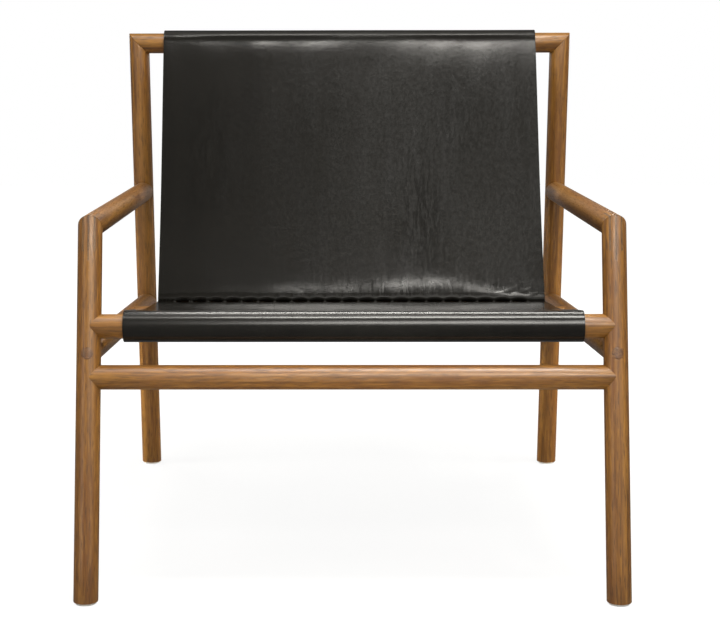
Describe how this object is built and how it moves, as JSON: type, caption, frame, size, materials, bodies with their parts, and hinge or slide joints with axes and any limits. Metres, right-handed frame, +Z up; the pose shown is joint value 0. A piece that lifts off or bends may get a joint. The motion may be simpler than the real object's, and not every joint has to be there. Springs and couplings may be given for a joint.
{
  "type": "sling lounge chair",
  "caption": "Low lounge chair with a frame of round hardwood bars, raked legs and level arms, and a thick leather hide slung as seat and back, laced round a bar at the crease.",
  "frame": {"origin": "on the floor, under the middle of the chair's box", "axes": "+X to the right as seen from the front, +Y from the front to the back, +Z up"},
  "size_m": [0.711, 0.798, 0.7327],
  "materials": {
    "wood": "oiled mid-brown hardwood with a soft satin sheen, grain along each bar",
    "tenon_wood": "bare hardwood, hidden in the joints",
    "key_wood": "darker oiled hardwood, flush with the bars",
    "plug_wood": "oiled hardwood plug, end grain showing",
    "leather": "thick black leather, smooth and softly glossy, faint natural wrinkles",
    "lacing_thread": "waxed black thread",
    "steel": "plain zinc-plated steel, hidden under the plugs",
    "dark_steel": "blackened steel domes",
    "glide_nylon": "off-white nylon"
  },
  "bodies": {
    "root": {"front_leg_left": "wood", "back_post_left": "wood", "arm_left": "wood", "side_rail_left": "wood", "front_rail_tenon_left": "tenon_wood", "stretcher_tenon_left": "tenon_wood", "rear_rail_tenon_left": "tenon_wood", "arm_tenon_left": "tenon_wood", "side_rail_tenon_left": "tenon_wood", "top_corner_tenon_left": "tenon_wood", "arm_key_inner_left": "key_wood", "arm_key_middle_left": "key_wood", "arm_key_outer_left": "key_wood", "screw_plug_left": "plug_wood", "side_rail_screw_left": "steel", "glide_front_left": "glide_nylon", "glide_back_left": "glide_nylon", "front_leg_right": "wood", "back_post_right": "wood", "arm_right": "wood", "side_rail_right": "wood", "front_rail_tenon_right": "tenon_wood", "stretcher_tenon_right": "tenon_wood", "rear_rail_tenon_right": "tenon_wood", "arm_tenon_right": "tenon_wood", "side_rail_tenon_right": "tenon_wood", "top_corner_tenon_right": "tenon_wood", "arm_key_inner_right": "key_wood", "arm_key_middle_right": "key_wood", "arm_key_outer_right": "key_wood", "screw_plug_right": "plug_wood", "side_rail_screw_right": "steel", "glide_front_right": "glide_nylon", "glide_back_right": "glide_nylon", "top_rail": "wood", "front_rail": "wood", "front_stretcher": "wood", "rear_rail": "wood", "leather_sling": "leather", "seam_lacing": "lacing_thread", "top_dome_screw_1": "dark_steel", "front_dome_screw_1": "dark_steel", "top_dome_screw_2": "dark_steel", "front_dome_screw_2": "dark_steel", "top_dome_screw_3": "dark_steel", "front_dome_screw_3": "dark_steel", "top_dome_screw_4": "dark_steel", "front_dome_screw_4": "dark_steel", "top_dome_screw_5": "dark_steel", "front_dome_screw_5": "dark_steel", "top_dome_screw_6": "dark_steel", "front_dome_screw_6": "dark_steel", "top_dome_screw_7": "dark_steel", "front_dome_screw_7": "dark_steel"}
  },
  "joints": []
}
